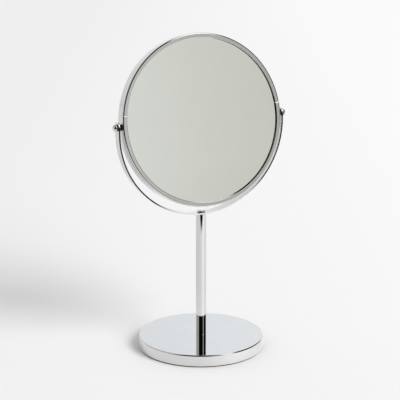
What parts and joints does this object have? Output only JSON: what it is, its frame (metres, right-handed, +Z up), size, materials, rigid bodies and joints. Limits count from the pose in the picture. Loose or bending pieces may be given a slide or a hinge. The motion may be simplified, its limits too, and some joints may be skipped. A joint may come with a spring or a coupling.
{
  "type": "magnifying mirror",
  "caption": "Free-standing round table mirror: a double-sided glass head in a channel rim turns in a half-round strip yoke on a slim stem and a weighted round base.",
  "frame": {"origin": "centre of the base's underside, on the surface it stands on", "axes": "+Z up; X along the tilting axis through both pivots; the flat glass faces -Y, the magnifying glass faces +Y"},
  "size_m": [0.1952, 0.1322, 0.3341],
  "materials": {
    "chrome": "polished",
    "mirror_flat": "polished flat mirror glass",
    "mirror_magnifying": "polished concave mirror glass",
    "plated_steel": "bright zinc plated",
    "ballast": "rough cast",
    "foot_foam": "fine closed-cell foam",
    "pad_foam": "soft foam sheet",
    "carrier_plastic": "moulded, matt",
    "washer_plastic": "black nylon"
  },
  "bodies": {
    "stand": {"foot_pad": "foot_foam", "base_weight": "ballast", "base_shell": "chrome", "base_bolt": "plated_steel", "base_washer": "plated_steel", "stem_tube": "chrome", "stem_foot_plug": "plated_steel", "stem_top_plug": "plated_steel", "yoke": "chrome", "yoke_screw": "chrome", "yoke_washer": "plated_steel"},
    "head": {"rim_lower": "chrome", "rim_upper": "chrome", "front_glass": "mirror_flat", "back_glass": "mirror_magnifying", "glass_carrier": "carrier_plastic", "backing_pad": "pad_foam", "seam_clip_left": "plated_steel", "seam_clip_right": "plated_steel", "pivot_screw_left": "chrome", "pivot_screw_right": "chrome", "pivot_washer_left": "washer_plastic", "pivot_washer_right": "washer_plastic", "pivot_spacer_left": "washer_plastic", "pivot_spacer_right": "washer_plastic", "pivot_nut_left": "plated_steel", "pivot_nut_right": "plated_steel"}
  },
  "joints": [
    {"name": "head_tilt", "type": "hinge", "parent": "stand", "child": "head", "pos_m": [0, 0, 0.2454], "axis": [1, 0, 0], "continuous": true}
  ]
}
